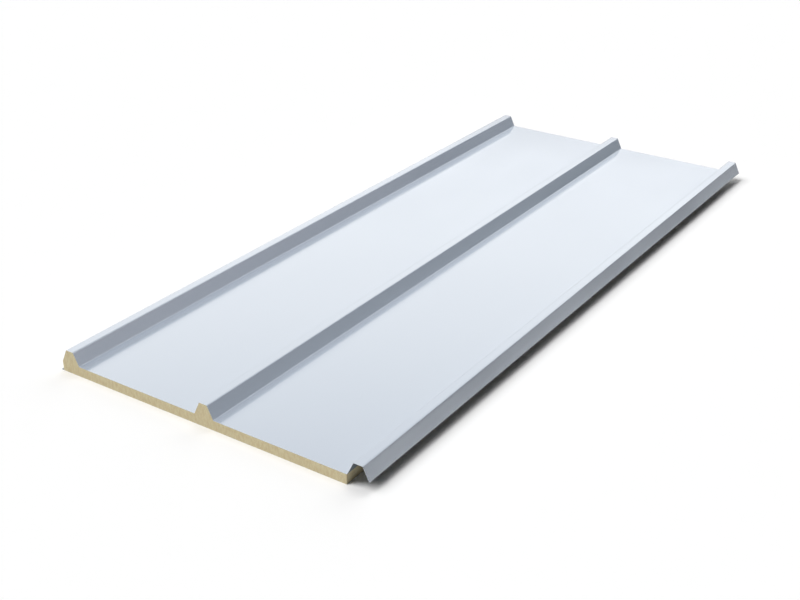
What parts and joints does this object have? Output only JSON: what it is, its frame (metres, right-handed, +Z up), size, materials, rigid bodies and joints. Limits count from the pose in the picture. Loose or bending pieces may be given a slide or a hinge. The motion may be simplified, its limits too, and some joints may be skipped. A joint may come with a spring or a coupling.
{
  "type": "insulated sandwich panel",
  "caption": "Trapezoidal roof sandwich panel: profiled coated steel outer sheet with a hollow overlap rib, rigid foam core and flat steel liner.",
  "frame": {"origin": "middle of the bounding box at the liner's underside, which lies on the purlins", "axes": "+X across the panel towards the hollow overlap rib, +Y along the ribs, +Z up towards the weather side"},
  "size_m": [1.0766, 2.5, 0.0717],
  "materials": {
    "outer_coating": "satin coil-coated polyester, pale blue-grey",
    "rigid_foam": "sawn closed-cell rigid foam, beige yellow",
    "liner_coating": "satin coil-coated polyester, off-white"
  },
  "bodies": {
    "root": {"outer_sheet": "outer_coating", "foam_core": "rigid_foam", "liner_sheet": "liner_coating"}
  },
  "joints": []
}
